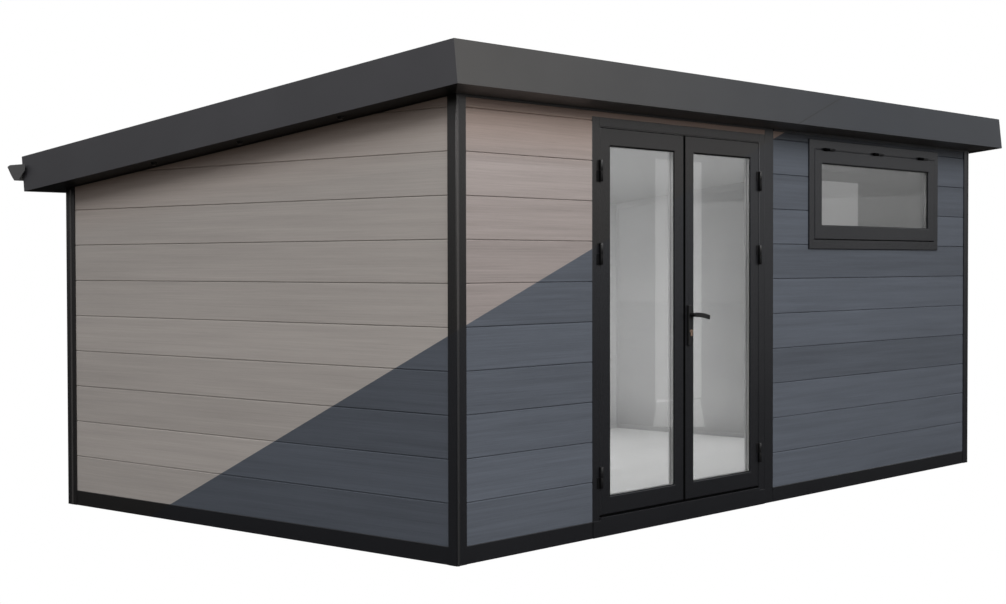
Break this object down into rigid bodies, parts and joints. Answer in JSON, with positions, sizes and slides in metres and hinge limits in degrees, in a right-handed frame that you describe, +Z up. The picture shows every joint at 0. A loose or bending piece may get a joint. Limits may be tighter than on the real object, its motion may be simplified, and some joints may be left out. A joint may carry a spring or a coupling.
{
  "type": "garden office pod",
  "caption": "Flat-packed garden office with a mono-pitch roof, board-clad walls in dark metal posts, an outward-opening glazed double door, a high top-hung window and a rear gutter.",
  "frame": {"origin": "middle of the wall plan on the ground, on the underside of the floor", "axes": "+X to the right along the front, +Y to the back, +Z up"},
  "size_m": [5.538, 3.5063, 2.3554],
  "materials": {
    "charcoal_aluminium": "satin powder coat",
    "fascia_metal": "satin powder coat",
    "deck_metal": "matt coil coat",
    "boards": "brushed composite with wood grain",
    "floor_board": "pale laminate",
    "glass": "clear",
    "dark_fittings": "satin black",
    "brass": "brushed"
  },
  "bodies": {
    "building": {"base_rail_front": "charcoal_aluminium", "base_rail_back": "charcoal_aluminium", "base_rail_left": "charcoal_aluminium", "base_rail_right": "charcoal_aluminium", "front_left_post": "charcoal_aluminium", "front_right_post": "charcoal_aluminium", "back_left_post": "charcoal_aluminium", "back_right_post": "charcoal_aluminium", "door_post": "charcoal_aluminium", "front_top_rails": "charcoal_aluminium", "back_top_rail": "charcoal_aluminium", "left_top_rail": "charcoal_aluminium", "right_top_rail": "charcoal_aluminium", "door_left_jamb": "charcoal_aluminium", "door_right_jamb": "charcoal_aluminium", "door_head": "charcoal_aluminium", "door_threshold": "charcoal_aluminium", "window_frame": "charcoal_aluminium", "window_sash": "charcoal_aluminium", "front_fascia": "fascia_metal", "left_fascia": "fascia_metal", "right_fascia": "fascia_metal", "back_fascia": "fascia_metal", "gutter": "fascia_metal", "gutter_end_caps": "fascia_metal", "roof_deck": "deck_metal", "left_wall": "boards", "right_wall": "boards", "back_wall": "boards", "front_wall_left": "boards", "front_wall_right": "boards", "wall_over_door": "boards", "floor": "floor_board", "window_glass": "glass", "left_jamb_hinges": "dark_fittings", "right_jamb_hinges": "dark_fittings", "window_hinges": "dark_fittings"},
    "left_door": {"left_door_frame": "charcoal_aluminium", "left_door_glass": "glass", "left_leaf_hinges": "dark_fittings"},
    "right_door": {"right_door_frame": "charcoal_aluminium", "right_door_glass": "glass", "right_leaf_hinges": "dark_fittings", "handle_plates": "dark_fittings", "lock_cylinder": "brass"},
    "lever": {"lever_handle": "dark_fittings"}
  },
  "joints": [
    {"name": "left_door_hinge", "type": "hinge", "parent": "building", "child": "left_door", "pos_m": [-1.522, -1.526, 0], "axis": [0, 0, -1], "range_deg": [0, 110]},
    {"name": "right_door_hinge", "type": "hinge", "parent": "building", "child": "right_door", "pos_m": [-0.06, -1.526, 0], "axis": [0, 0, 1], "range_deg": [0, 110]},
    {"name": "lever_turn", "type": "hinge", "parent": "right_door", "child": "lever", "pos_m": [-0.7445, -1.516, 1.096], "axis": [0, 1, 0], "range_deg": [0, 45], "stiffness_Nm_per_rad": 1.5, "springref_deg": -22.92}
  ]
}
